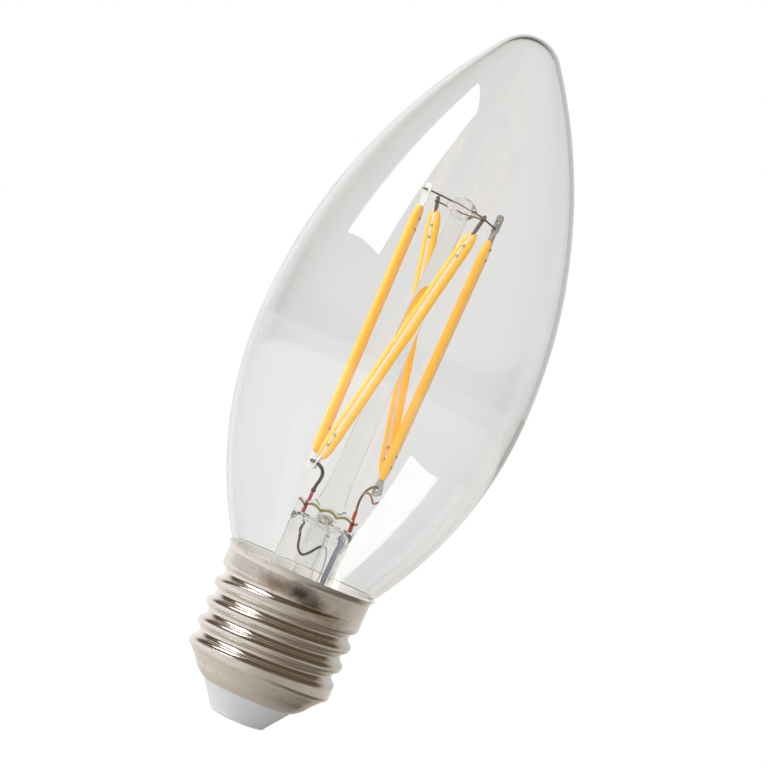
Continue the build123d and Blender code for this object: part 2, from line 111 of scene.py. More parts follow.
def turned(profile, columns):
    """A profile of radius and height carried round the axis; a first or last radius of zero closes there."""
    profile = np.asarray(profile, float)
    start = end = None
    if profile[0, 0] < 1e-9:
        start, profile = (0, 0, profile[0, 1]), profile[1:]
    if profile[-1, 0] < 1e-9:
        end, profile = (0, 0, profile[-1, 1]), profile[:-1]
    a = np.linspace(0, TAU, columns, endpoint=False)
    r, z = profile[:, :1], np.repeat(profile[:, 1:], columns, 1)
    rings = np.stack([r * np.cos(a), r * np.sin(a), z], -1)
    return skin(rings, start, end, loop=start is None and end is None)


def joined(*parts):
    """Several surfaces as one, each one's face numbers moved up by the points before it."""
    moved = np.r_[0, np.cumsum([len(v) for v, _, _ in parts])]
    return (
        np.concatenate([v for v, _, _ in parts]),
        np.concatenate([q + k for (_, q, _), k in zip(parts, moved)]),
        np.concatenate([t + k for (_, _, t), k in zip(parts, moved)]),
    )


def smooth_path(points, step):
    """A cubic through the points whose slope at each one is half the way from the point before to the point after."""
    points = np.asarray(points, float)
    spans = len(points) - 1
    p = np.vstack([2 * points[0] - points[1], points, 2 * points[-1] - points[-2]])
    length = np.linalg.norm(np.diff(points, axis=0), axis=1).sum()
    u = np.linspace(0, spans, int(math.ceil(length / step)) + 1)
    i = np.minimum(u.astype(int), spans - 1)
    f = (u - i)[:, None]
    a, b, c, d = p[i], p[i + 1], p[i + 2], p[i + 3]
    return b + f * (c - a) / 2 + f**2 * (a - 2.5 * b + 2 * c - d / 2) + f**3 * (1.5 * (b - c) + (d - a) / 2)


def wire(points, radius, aside=(0, 1, 0), step=0.25, columns=14):
    """A round section carried along a smooth path and closed at both ends by a smaller ring and a low cone. Aside is
    a direction the path never takes. The radius is one number, or a function of the points of the path."""
    end_share, cone_share = 0.7, 0.3
    path = smooth_path(points, step)
    run = np.gradient(path, axis=0)
    run /= np.linalg.norm(run, axis=1)[:, None]
    side = np.cross(np.asarray(aside, float), run)
    side /= np.linalg.norm(side, axis=1)[:, None]
    over = np.cross(run, side)
    r = np.broadcast_to(radius(path) if callable(radius) else radius, len(path)).copy()
    r[[0, -1]] *= end_share
    a = np.linspace(0, TAU, columns, endpoint=False)[None, :, None]
    rings = path[:, None] + r[:, None, None] * (np.cos(a) * side[:, None] + np.sin(a) * over[:, None])
    return skin(rings, path[0] - run[0] * r[0] * cone_share, path[-1] + run[-1] * r[-1] * cone_share)


def piece(name, shape, material, slot, *replaced, sharp=None, normals=None):
    """Puts a surface into a mesh object that rides on the root body and stands for CAD nodes. Normals of no length are
    left to the mesh."""
    verts, quads, fans = shape
    mesh = bpy.data.meshes.new(name)
    mesh.vertices.add(len(verts))
    mesh.vertices.foreach_set("co", (verts * MM).ravel())
    mesh.loops.add(quads.size + fans.size)
    mesh.loops.foreach_set("vertex_index", np.r_[quads.ravel(), fans.ravel()].astype(np.int32))
    mesh.polygons.add(len(quads) + len(fans))
    starts = np.r_[4 * np.arange(len(quads)), quads.size + 3 * np.arange(len(fans))]
    mesh.polygons.foreach_set("loop_start", starts.astype(np.int32))
    mesh.update(calc_edges=True)
    mesh.validate()
    mesh.shade_smooth()
    if sharp:
        mesh.set_sharp_from_angle(angle=math.radians(sharp))
    if normals is not None:
        mesh.normals_split_custom_set_from_vertices(normals)
    obj = bpy.data.objects.new(name, mesh)
    bpy.context.scene.collection.objects.link(obj)
    mesh.materials.append(material)
    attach(obj, "root")
    if replaced:
        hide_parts(*replaced)


# Materials

class Tree:
    """A node tree with short ways to add to it. A socket takes another node's output or a plain value."""

    def __init__(self, tree):
        self.nodes, self.link = tree.nodes, tree.links.new

    def feed(self, socket, value):
        """Links an output to a socket, or sets the socket's own value."""
        if isinstance(value, bpy.types.NodeSocket):
            self.link(value, socket)
        else:
            socket.default_value = (*value, 1) if socket.type == "RGBA" else value

    def add(self, kind, sockets=None, **settings):
        """A new node with its settings, whose sockets are fed by name or number."""
        node = self.nodes.new("ShaderNode" + kind)
        for label, value in settings.items():
            setattr(node, label, value)
        for label, value in (sockets or {}).items():
            self.feed(node.inputs[label], value)
        return node

    def math(self, operation, *values, clamp=False):
        """One sum on numbers."""
        node = self.add("Math", dict(enumerate(values)), operation=operation, use_clamp=clamp)
        return node.outputs["Value"]

    def vector(self, operation, *values):
        """One sum on vectors, which gives a number for a dot product or a length."""
        node = self.add("VectorMath", dict(enumerate(values)), operation=operation)
        return node.outputs["Value" if operation in ("DOT_PRODUCT", "LENGTH") else "Vector"]

    def ramp(self, value, start=0.0, stop=1.0, low=0.0, high=1.0, smooth=False):
        """Low up to start, high from stop on, and between them even or smooth."""
        sockets = {"Value": value, "From Min": start, "From Max": stop, "To Min": low, "To Max": high}
        node = self.add("MapRange", sockets, interpolation_type="SMOOTHSTEP" if smooth else "LINEAR")
        return node.outputs["Result"]

    def mix(self, factor, a, b, kind="RGBA"):
        """From a to b as the factor goes from 0 to 1, for colours or numbers."""
        return self.add("Mix", {"Factor": factor, "A": a, "B": b}, data_type=kind).outputs["Result"]

    def place(self):
        """The point's own place in the object, in m."""
        return self.add("TexCoord").outputs["Object"]

    def apart(self, vector):
        """A vector's three numbers, by name."""
        return self.add("SeparateXYZ", {"Vector": vector}).outputs

    def stretched(self, vector, scale):
        """A vector multiplied along each axis."""
        return self.add("Mapping", {"Vector": vector, "Scale": scale}).outputs["Vector"]

    def noise(self, vector, scale, detail):
        """Soft noise round one half."""
        return self.add("TexNoise", {"Vector": vector, "Scale": scale, "Detail": detail}).outputs["Fac"]

    def bump(self, height, strength, distance):
        """A normal leaned by a height that changes over the surface."""
        return self.add("Bump", {"Height": height, "Strength": strength, "Distance": distance}).outputs["Normal"]


def socket_group(name, inputs, outputs):
    """An empty shader group with the named sockets: the group, its tree, what comes in and what goes out."""
    group = bpy.data.node_groups.new(name, "ShaderNodeTree")
    for label, kind, value in inputs:
        group.interface.new_socket(label, in_out="INPUT", socket_type="NodeSocket" + kind).default_value = value
    for label, kind in outputs:
        group.interface.new_socket(label, in_out="OUTPUT", socket_type="NodeSocket" + kind)
    start, end = group.nodes.new("NodeGroupInput"), group.nodes.new("NodeGroupOutput")
    return group, Tree(group), start.outputs, end.inputs


def mottle_group():
    """Two colours mixed by soft noise, with a roughness that follows it and a fine bump."""
    group, tree, given, result = socket_group(
        "mottle",
        [("Colour A", "Color", (0.5, 0.5, 0.5, 1)), ("Colour B", "Color", (0.4, 0.4, 0.4, 1)), ("Scale", "Float", 300.0),
         ("Roughness Low", "Float", 0.3), ("Roughness High", "Float", 0.4), ("Bump", "Float", 0.1)],
        [("Colour", "Color"), ("Roughness", "Float"), ("Normal", "Vector")],
    )
    noise = tree.noise(tree.place(), given["Scale"], 4)
    tree.link(tree.mix(noise, given["Colour A"], given["Colour B"]), result["Colour"])
    tree.link(tree.ramp(noise, low=given["Roughness Low"], high=given["Roughness High"]), result["Roughness"])
    tree.link(tree.bump(noise, given["Bump"], grain_depth), result["Normal"])
    return group


def band_group():
    """A mask that is 1 between two heights and fades out beyond them over a soft width."""
    labels = ("Height", "Low", "High", "Soft")
    group, tree, given, result = socket_group("band", [(label, "Float", 0.0) for label in labels], [("Mask", "Float")])
    height, low, high, soft = (given[label] for label in labels)
    rise = tree.ramp(height, tree.math("SUBTRACT", low, soft), low, smooth=True)
    fall = tree.ramp(height, high, tree.math("ADD", high, soft), 1.0, 0.0, smooth=True)
    tree.link(tree.math("MULTIPLY", rise, fall), result["Mask"])
    return group


def spot_group():
    """A mask that is 1 at a centre and falls evenly to 0 on an ellipsoid round it."""
    group, tree, given, result = socket_group(
        "spot", [("Centre", "Vector", (0, 0, 0)), ("Half Size", "Vector", (1, 1, 1))], [("Mask", "Float")])
    share = tree.vector("DIVIDE", tree.vector("SUBTRACT", tree.place(), given["Centre"]), given["Half Size"])
    tree.link(tree.ramp(tree.vector("LENGTH", share), low=1.0, high=0.0), result["Mask"])
    return group


def wave_group():
    """A normal leaned by faint noise that is drawn out along the axis."""
    group, tree, given, result = socket_group("wave", [("Strength", "Float", 0.1)], [("Normal", "Vector")])
    drawn_out = tree.noise(tree.stretched(tree.place(), (1, 1, 0.25)), 90, 1)
    tree.link(tree.bump(drawn_out, given["Strength"], wave_depth), result["Normal"])
    return group


mottle, band_shape, spot_shape, wave_shape = mottle_group(), band_group(), spot_group(), wave_group()


def height_band(tree, height, low, high, soft):
    """The band group's mask of a height, with its limits in mm."""
    sockets = {"Height": height, "Low": low * MM, "High": high * MM, "Soft": soft * MM}
    return tree.add("Group", sockets, node_tree=band_shape).outputs["Mask"]


def soft_spot(tree, centre, size):
    """The spot group's mask with its centre and half sizes in mm."""
    sockets = {"Centre": [c * MM for c in centre], "Half Size": [v * MM for v in size]}
    return tree.add("Group", sockets, node_tree=spot_shape).outputs["Mask"]


def new_material(name):
    """A node material, its tree, and the sockets of its Principled shader and of its output."""
    made = bpy.data.materials.new(name)
    made.use_nodes = True
    tree = made.node_tree
    return made, Tree(tree), tree.nodes["Principled BSDF"], tree.nodes["Material Output"].inputs


def mottled(name, a, b, scale, rough, bump, metallic=0.0, painted_glow=None):
    """A material whose colour, roughness and bump come from the mottle group, with the colour and strength of an
    emission that is painted light.
    """
    made, tree, shader, _ = new_material(name)
    sockets = {"Colour A": a, "Colour B": b, "Scale": scale, "Bump": bump,
               "Roughness Low": rough[0], "Roughness High": rough[1]}
    outputs = tree.add("Group", sockets, node_tree=mottle).outputs
    tree.link(outputs["Colour"], shader.inputs["Base Color"])
    tree.link(outputs["Roughness"], shader.inputs["Roughness"])
    tree.link(outputs["Normal"], shader.inputs["Normal"])
    shader.inputs["Metallic"].default_value = metallic
    # Painted light: the part glows though it is no lamp
    if painted_glow:
        tree.feed(shader.inputs["Emission Color"], painted_glow[0])
        tree.feed(shader.inputs["Emission Strength"], painted_glow[1])
    return made


def clear_body(name, ior, absorb, density):
    """A clear glass material that darkens where the light's way through it is long."""
    made, tree, shader, output = new_material(name)
    for label, value in (("Roughness", 0.0), ("IOR", ior), ("Transmission Weight", 1.0)):
        shader.inputs[label].default_value = value
    volume = tree.add("VolumeAbsorption", {"Color": absorb, "Density": density})
    tree.link(volume.outputs["Volume"], output["Volume"])
    return made, tree, shader, output


def glass(name, tint, absorb, density, ior, wave):
    """Clear glass with the wave group's faint waviness, which lets a lamp's shadow rays by."""
    made, tree, shader, output = clear_body(name, ior, absorb, density)
    tree.feed(shader.inputs["Base Color"], tint)
    waves = tree.add("Group", {"Strength": wave}, node_tree=wave_shape)
    tree.link(waves.outputs["Normal"], shader.inputs["Normal"])
    lets_by = tree.add("BsdfTransparent", {"Color": (0.9, 0.9, 0.9)})
    shadow = tree.add("LightPath").outputs["Is Shadow Ray"]
    either = tree.add("MixShader", {"Fac": shadow, 1: shader.outputs["BSDF"], 2: lets_by.outputs["BSDF"]})
    tree.link(either.outputs["Shader"], output["Surface"])
    return made


def nickel_plate():
    """Bright nickel with fine lines turned round the skirt, dulled patches, a soft heat mark below the rim, and a broad
    bronze spot at the lower right of the skirt that is painted shade.
    """
    made, tree, shader, _ = new_material("nickel")
    shader.inputs["Metallic"].default_value = 1.0
    place = tree.place()
    lines = tree.ramp(tree.noise(tree.stretched(place, (40, 40, 5200)), 1, 3), 0.3, 0.7)
    on_skirt = tree.math("MULTIPLY", lines, height_band(tree, tree.apart(place)["Z"], 24.6, 27.4, 0.6))
    colour = tree.mix(on_skirt, (0.85, 0.795, 0.735), (0.815, 0.757, 0.695))
    speck = tree.ramp(tree.noise(place, 750, 3), 0.35, 0.65, -0.22, 0.04)
    # Dark spots below the rim: the first, third and fourth are the heat mark; the second, broad bronze one at the lower
    # right is painted shade
    heat_marks_and_painted_shade = (
        ((-3.1, -12.9, 25.2), (4.6, 7.0, 1.9), (0.42, 0.32, 0.235)),
        ((6.6, -11.3, 23.0), (7.0, 7.0, 2.0), (0.50, 0.38, 0.27)),
        ((1.5, -13.1, 25.3), (4.0, 7.0, 2.4), (0.13, 0.10, 0.08)),
        ((4.0, -12.5, 24.6), (3.2, 7.0, 2.0), (0.24, 0.19, 0.15)),
    )
    for centre, size, dark in heat_marks_and_painted_shade:
        ragged = tree.math("MULTIPLY_ADD", soft_spot(tree, centre, size), 1.3, speck, clamp=True)
        colour = tree.mix(ragged, colour, dark)
    tree.link(colour, shader.inputs["Base Color"])
    tree.link(tree.ramp(tree.noise(place, 220, 3), 0.3, 0.7, 0.14, 0.20), shader.inputs["Roughness"])
    tree.link(tree.bump(on_skirt, 0.05, line_depth), shader.inputs["Normal"])
    return made


def stem_clear():
    """The stem's glass: clear, tinted olive in a band along the pressed head's scallops, darker at the end of the
    exhaust tube's bore, and with a crumpled seal below them."""
    made, tree, shader, _ = clear_body("stem_glass", 1.25, (0.60, 0.60, 0.50), 22)
    place = tree.place()
    apart = tree.apart(place)
    turn = math.pi / lobe_width
    across = tree.math("MULTIPLY_ADD", apart["X"], turn / MM, -turn * lobe_shift)
    lobes = tree.math("ABSOLUTE", tree.math("COSINE", across))
    level = tree.math("MULTIPLY_ADD", lobes, -lobe_lift * MM, apart["Z"])
    bore_end = soft_spot(tree, (0.3, 0, 38.2), (2.4, 6.0, 0.9))
    colour = tree.mix(bore_end, (0.975, 0.977, 0.97), (0.45, 0.42, 0.27))
    olive_band = height_band(tree, level, 38.82, 39.15, 0.18)
    tree.link(tree.mix(olive_band, colour, (0.13, 0.095, 0.008)), shader.inputs["Base Color"])
    seal = height_band(tree, apart["Z"], 36.0, 37.4, 0.5)
    crumple = tree.math("MULTIPLY", tree.noise(place, 1000, 2), seal)
    tree.link(tree.bump(crumple, 0.5, wave_depth), shader.inputs["Normal"])
    return made


# Each finish: two colours, scale of the mottling, roughness, bump, then metallic and a glow where it has them; every
# glow is painted light, and the phosphor's is partly also its faint fluorescence
finish_table = {
    "insulator_white": ((0.90, 0.90, 0.89), (0.85, 0.85, 0.85), 500, (0.35, 0.5), 0.1),
    "contact_metal": ((0.70, 0.68, 0.65), (0.55, 0.53, 0.50), 900, (0.3, 0.45), 0.2, 1.0),
    # cement: its glow is painted light on the ring
    "cement": ((0.96, 0.95, 0.92), (0.92, 0.90, 0.86), 1500, (0.6, 0.8), 0.3, 0.0, ((1.0, 0.98, 0.94), 0.45)),
    "seal_red": ((0.80, 0.07, 0.13), (0.62, 0.05, 0.10), 1500, (0.25, 0.4), 0.1),
    "seal_orange": ((0.88, 0.15, 0.08), (0.70, 0.09, 0.06), 1500, (0.2, 0.35), 0.1),
    "lead_brown": ((0.15, 0.115, 0.09), (0.07, 0.055, 0.045), 1500, (0.3, 0.45), 0.2, 0.3),
    "hook_brown": ((0.42, 0.34, 0.27), (0.20, 0.16, 0.13), 1100, (0.25, 0.4), 0.2, 0.4),
    "cross_brown": ((0.36, 0.25, 0.17), (0.20, 0.13, 0.09), 1100, (0.3, 0.45), 0.2, 0.2),
    "curl_copper": ((0.78, 0.50, 0.34), (0.40, 0.24, 0.16), 900, (0.25, 0.4), 0.2, 0.3),
    "tinned": ((0.80, 0.79, 0.77), (0.66, 0.65, 0.63), 1500, (0.3, 0.45), 0.2, 0.7),
    "sleeve_blue": ((0.74, 0.80, 0.95), (0.60, 0.66, 0.80), 2500, (0.6, 0.8), 0.4),
    # phosphor: its glow is partly faint fluorescence and partly painted light that brightens the coats
    "phosphor": ((1.0, 0.64, 0.10), (1.0, 0.56, 0.06), 1200, (0.35, 0.5), 0.15, 0.0, ((1.0, 0.40, 0.05), 0.38)),
    # strip_ceramic: its faint glow is painted light
    "strip_ceramic": ((1.0, 0.82, 0.70), (0.96, 0.76, 0.62), 1500, (0.3, 0.4), 0.05, 0.0, ((1.0, 0.74, 0.58), 0.06)),
    "pin_silver": ((0.80, 0.78, 0.75), (0.50, 0.48, 0.46), 2200, (0.2, 0.35), 0.2, 0.5),
    # tab_pale: its faint glow is painted light and its near-white colour a painted sheen; it also colours the filament
    # bars and the pale end of the left outer lead
    "tab_pale": ((1.0, 0.99, 0.97), (0.82, 0.81, 0.79), 1600, (0.12, 0.3), 0.6, 0.0, ((1.0, 1.0, 1.0), 0.08)),
    "tab_green": ((0.74, 0.78, 0.73), (0.58, 0.61, 0.57), 1800, (0.25, 0.4), 0.2, 0.3),
    "tab_plate": ((0.80, 0.79, 0.76), (0.58, 0.56, 0.53), 1800, (0.25, 0.45), 0.2, 0.5),
    # Pale metal with large dark blotches
    "tab_blotched": ((0.62, 0.60, 0.56), (0.12, 0.10, 0.09), 1300, (0.2, 0.45), 0.5, 0.4),
    "tab_dark": ((0.40, 0.35, 0.30), (0.15, 0.12, 0.10), 1300, (0.2, 0.45), 0.3, 0.4),
    "board_coat": ((0.70, 0.72, 0.66), (0.62, 0.65, 0.58), 800, (0.4, 0.5), 0.1),
    "chip_black": ((0.02, 0.02, 0.022), (0.03, 0.03, 0.032), 2500, (0.5, 0.65), 0.2),
    "can_aluminium": ((0.60, 0.61, 0.62), (0.52, 0.53, 0.54), 1200, (0.25, 0.4), 0.1, 1.0),
    "resistor_lacquer": ((0.35, 0.46, 0.36), (0.28, 0.38, 0.30), 1500, (0.25, 0.35), 0.1),
}
finish = {name: mottled(name, *row) for name, row in finish_table.items()}
finish["clear_glass"] = glass("clear_glass", (0.937, 0.938, 0.94), (0.70, 0.72, 0.66), 130, 1.5, 0.02)
finish["bead_glass"] = glass("bead_glass", (0.985, 0.985, 0.98), (0.80, 0.80, 0.74), 40, 1.22, 0.2)
finish["stem_glass"] = stem_clear()
finish["nickel"] = nickel_plate()

slot_finish = {
    "envelope_glass": "clear_glass", "stem_glass": "stem_glass", "nickel_plate": "nickel",
    "insulator_white": "insulator_white", "contact_metal": "contact_metal", "cement": "cement",
    "red_seal_wire": "seal_red", "lead_wire": "lead_brown", "tinned_wire": "tinned", "sleeve": "sleeve_blue",
    "phosphor": "phosphor", "filament_strip": "strip_ceramic", "tab_metal": "tab_plate", "board": "board_coat",
    "chip_black": "chip_black", "capacitor_can": "can_aluminium", "resistor_body": "resistor_lacquer",
}
tab_finish = {
    "left_filament_top_tab": "tab_pale", "left_filament_bottom_tab": "tab_pale",
    "front_filament_top_tab": "tab_dark", "front_filament_bottom_tab": "tab_pale",
    "right_filament_top_tab": "tab_blotched", "right_filament_bottom_tab": "tab_green",
    "rear_filament_top_tab": "tab_dark",
}
for entry in frame["record"]["subparts"]:
    node = nodes[entry["node"]]
    node.data.materials.clear()
    node.data.materials.append(finish[tab_finish.get(entry["node"], slot_finish[entry["material_slot"]])])


# Glass envelope
head = overall_length - widest_height
upper_r = (bulb_radius**2 - tip_radius**2 + (head - tip_radius) ** 2) / (2 * (bulb_radius - tip_radius))
drop = widest_height - rim_height
lower_r = ((bulb_radius - rim_glass_radius) ** 2 + drop**2) / (2 * (bulb_radius - rim_glass_radius))
lower_x, upper_x = bulb_radius - lower_r, bulb_radius - upper_r
fillet_x = neck_radius + neck_fillet
fillet_z = widest_height - math.sqrt((lower_r + neck_fillet) ** 2 - (fillet_x - lower_x) ** 2)
neck_angle = math.degrees(math.atan2(fillet_z - widest_height, fillet_x - lower_x))
tip_z = overall_length - tip_radius
tip_angle = math.degrees(math.atan2(tip_z - widest_height, -upper_x))


def envelope_wall(inset):
    """One face of the glass from the neck's end to the tip: a line and four arcs, each tangent to the next."""
    return np.concatenate([
        along([(neck_radius - inset, neck_end), (neck_radius - inset, fillet_z)], 0.6)[:-1],
        arc((fillet_x, fillet_z), neck_fillet + inset, 180, 180 + neck_angle, 16)[:-1],
        arc((lower_x, widest_height), lower_r - inset, neck_angle, 0, 70)[:-1],
        arc((upper_x, widest_height), upper_r - inset, 0, tip_angle, 80)[:-1],
        arc((0, tip_z), tip_radius - inset, tip_angle, 90, 24),
    ])


def envelope():
    """The inner face from the tip down to the neck's end, then the outer face back up, turned round the axis."""
    outer, inner = envelope_wall(0), envelope_wall(glass_wall)
    outer[-1, 0] = inner[-1, 0] = 0
    return turned(np.concatenate([inner[::-1], outer]), 200)


piece("envelope", envelope(), finish["clear_glass"], "envelope_glass", "glass_envelope")


# Screw shell
half_pitch = pitch / 2
crest_centre = crest_radius - rounding
root_centre = crest_centre + math.sqrt((2 * rounding) ** 2 - half_pitch**2)
shell_r = crest_centre + rounding * math.cos(math.radians(12))
groove_lift = crest_radius - (crest_centre + root_centre) / 2 + rounding * 0.7


def rolled(radius, height, turn):
    """Radius of the sheet at a height and angle: the lesser of the plain outline and of a round-bottomed groove that
    climbs one pitch a turn, is made of two tangent circles, and lifts out of the sheet at both ends. A soft blend
    rounds the edge where the two meet."""
    soft, clear_of_sheet = 0.16, 9.0
    w = (height - groove_height - pitch * turn / TAU + half_pitch) % pitch - half_pitch
    at = (height - w - groove_height) / pitch * 360
    root = root_centre - np.sqrt(np.maximum(rounding**2 - w**2, 0))
    crest = crest_centre + np.sqrt(np.maximum(rounding**2 - (half_pitch - np.abs(w)) ** 2, 0))
    groove = np.where(np.abs(w) < half_pitch / 2, root, crest)
    below = np.maximum(0, groove_turns[0] + groove_fade[0] - at) / groove_fade[0]
    above = np.maximum(0, at - groove_turns[1] + groove_fade[1]) / groove_fade[1]
    share = below + above
    groove = groove + np.where(share >= 1, clear_of_sheet, groove_lift * smooth_step(share))
    blend = np.clip(0.5 + 0.5 * (groove - radius) / soft, 0, 1)
    return groove + (radius - groove) * blend - soft * blend * (1 - blend)


def shell():
    """The rolled outline from the base hole up to the lip, over its edge and down the inside, as one loop of rings; and
    the thread's normals, which lean from the radius by the radius's slope up the axis and round it. The thread's rows
    are as far apart as the groove climbs from one column to the next, so that its faces follow it."""
    columns, thread_low, thread_high, inner_rows = 120, 7.6, 25.4, slice(1, None, 6)
    bowl_top, lip_foot = base_height + 2.6, rim_height - lip_height
    bowl = smooth_path([
        (hole_radius + 0.3, base_height), (9.0, base_height + 0.42), (9.72, base_height + 1.0),
        (10.4, base_height + 1.72), (shell_r - 2.1, bowl_top), (shell_r - 0.8, thread_start - 0.6),
        (shell_r - 0.22, thread_start - 0.12), (shell_r, thread_start + 0.4),
    ], 0.02)
    heights = np.arange(thread_low, thread_high, pitch / columns)
    outline = np.concatenate([
        [(hole_radius, base_height)],
        bowl[bowl[:, 1] < thread_low - 0.05][::5],
        np.stack([np.interp(heights, bowl[:, 1], bowl[:, 0]), heights], -1),
        along([(shell_r, thread_high + 0.1), (shell_r, lip_foot - 0.3)], 0.3),
        along([(shell_r + 0.02, lip_foot - 0.1), (shell_r + 0.12, lip_foot + 0.25), (shell_r + 0.35, rim_height - 0.3),
               (rim_radius - 0.06, rim_height - 0.06), (rim_radius, rim_height)], 0.12),
    ])
    turns = np.linspace(0, TAU, columns, endpoint=False)
    r, z = outline[:, :1], outline[:, 1:]
    outer = rolled(r, z, turns)
    slope = np.gradient(outer, axis=0) / np.maximum(np.gradient(z[:, 0])[:, None], 1e-3)
    inner = (outer - sheet * np.sqrt(1 + np.clip(slope, -1.5, 1.5) ** 2))[inner_rows]
    inner_z = z[inner_rows]
    inner_z = np.minimum(inner_z + np.where(inner_z < bowl_top, sheet * 0.8, 0), rim_height)
    hole_edge = np.full((1, columns), hole_radius), np.full((1, 1), base_height + sheet)
    rings = np.concatenate([
        np.stack([radius * np.cos(turns), radius * np.sin(turns), np.repeat(height, columns, 1)], -1)
        for radius, height in ((outer, z), (inner[::-1], inner_z[::-1]), hole_edge)
    ])
    reach = 0.02
    over, below = (rolled(np.interp(z + d, outline[:, 1], outline[:, 0]), z + d, turns) for d in (reach, -reach))
    climb = (over - below) / (2 * reach)
    round_it = (rolled(r, z, turns + reach) - rolled(r, z, turns - reach)) / (2 * reach * outer)
    lean = np.stack([np.cos(turns) + round_it * np.sin(turns), np.sin(turns) - round_it * np.cos(turns), -climb], -1)
    lean /= np.linalg.norm(lean, axis=2)[..., None]
    on_thread = (z > base_height + 0.6) & (z < lip_foot - 0.4)
    normals = np.zeros_like(rings)
    normals[: len(outer)] = np.where(on_thread[..., None], lean, 0)
    return skin(rings, loop=True), normals.reshape(-1, 3)


rolled_sheet, thread_normals = shell()
piece("shell", rolled_sheet, finish["nickel"], "nickel_plate", "screw_shell", sharp=50, normals=thread_normals)


# Cement
def cement_collar():
    """The gap between glass and shell from below the rim up to it, a hair clear of both, its top a hollow fillet."""
    hair, depth = 0.03, 2.5
    wall = envelope_wall(-hair)
    heights = np.linspace(rim_height - depth, rim_height - 0.12, 10)
    rising = wall[: np.argmax(wall[:, 1] > 40)]
    inner = np.stack([np.interp(heights, rising[:, 1], rising[:, 0]), heights], -1)
    lip = shell_r - sheet - hair
    top = [(inner[-1, 0] + 0.05, rim_height - 0.16), (13.22, rim_height - 0.2), (13.26, rim_height - 0.14)]
    back = [(13.2, rim_height - 0.3), (lip, rim_height - 0.75), (lip, rim_height - depth)]
    return turned(np.concatenate([inner[::-1], back[::-1], top[::-1]]), 160)


piece("cement_collar", cement_collar(), finish["cement"], "cement", "cement_ring")


# Filaments: four coated strips, the right one being the left one turned half round. Each has its foot, the place of its
# head seen from above, the bearing of its bare edge in degrees, and how much shorter its coat is drawn
filament_set_out = {
    "left": ((-6.2, -0.4, 47.9), (-6.7, -3.6), -24, 0.4),
    "front": ((-4.9, -2.7, 47.4), (3.5, -6.3), -111, 0),
    "right": ((6.2, 0.4, 47.9), (6.7, 3.6), 156, 1.2),
    "rear": ((6.2, 3.2, 48.9), (-4.1, 5.6), 69, 0),
}


def filament_frame(foot, head, bearing):
    """Foot point of a filament and its three directions: along it, along its bare edge, and across its coat."""
    foot, head = np.array(foot), np.array(head)
    run = head - foot[:2]
    up = np.r_[run, math.sqrt(coat_length**2 - run @ run)] / coat_length
    edge = np.array([math.cos(math.radians(bearing)), math.sin(math.radians(bearing)), 0])
    edge -= up * (edge @ up)
    edge /= np.linalg.norm(edge)
    across = np.cross(edge, up)
    return foot, up, edge, across


def stations(length, start, end_count, middle_count):
    """Places along a filament, closer together at its drawn-in ends, and how full it is there: a quarter circle's rise
    over the taper. Then its half width, from 0.3 of the strip's at the ends to all of it."""
    s = np.r_[np.linspace(start, coat_taper, end_count)[:-1],
              np.linspace(coat_taper, length - coat_taper, middle_count),
              np.linspace(length - coat_taper, length - start, end_count)[1:]]
    full = np.clip(np.minimum(s, length - s) / coat_taper, 0, 1)
    swell = np.sqrt(full * (2 - full))
    return s, swell, strip_width / 2 * (0.30 + 0.70 * swell)


def bead(foot, up, edge, across, side, length):
    """A half-round bead on one face of a strip: a flat-backed arch carried along it, drawn in to a point at both ends,
    its height a little uneven."""
    s, swell, wide = stations(length, 0.05, 14, 40)
    tall = coat_height * (0.22 + 0.78 * swell)
    a = np.linspace(0, math.pi, 21)
    arch = np.stack([np.cos(a), np.sin(a) ** 0.85], -1)
    base = np.stack([np.linspace(-1, 1, 7)[1:-1], np.zeros(5)], -1)
    section = np.concatenate([arch, base])
    uneven = 1 + 0.02 * np.sin(s * 1.7 + side) + 0.015 * np.sin(s * 4.1 + 2 * side)
    e = side * section[None, :, 0] * wide[:, None]
    h = side * (strip_thickness / 2 + section[None, :, 1] * (tall * uneven)[:, None])
    rings = foot + s[:, None, None] * up + e[..., None] * edge + h[..., None] * across
    first, last = (foot + d * up + side * (strip_thickness / 2 + 0.1) * across for d in (0.0, length))
    return skin(rings[:, ::-1], first, last)


def strip(foot, up, edge, across, length):
    """A flat bar with rounded edges, as wide as the beads' flat backs and drawn in with them at both ends."""
    start, squareness = 0.1, 0.25
    s, _, wide = stations(length, start, 12, 24)
    a = np.linspace(0, TAU, 28, endpoint=False)
    e = wide[:, None] * np.sign(np.cos(a)) * np.abs(np.cos(a)) ** squareness
    h = strip_thickness / 2 * np.sign(np.sin(a)) * np.abs(np.sin(a)) ** squareness
    rings = foot + s[:, None, None] * up - e[..., None] * edge + (h[:, None] * across)[None]
    return skin(rings, foot + start * up, foot + (length - start) * up)


def pin(foot, up, edge, across, height, side):
    """A flat button on a strip's bare edge: a ball pressed thin, half of it sunk in the strip."""
    radius, half_thickness = 0.34, 0.15
    q = np.radians(np.linspace(-75, 75, 9))[:, None, None]
    a = np.linspace(0, TAU, 16, endpoint=False)[None, :, None]
    centre = foot + height * up + side * strip_width / 2 * edge
    disc = radius * np.cos(q) * (np.cos(a) * up + np.sin(a) * across)
    rings = centre + disc + half_thickness * np.sin(q) * edge
    return skin(rings, centre - half_thickness * edge, centre + half_thickness * edge)


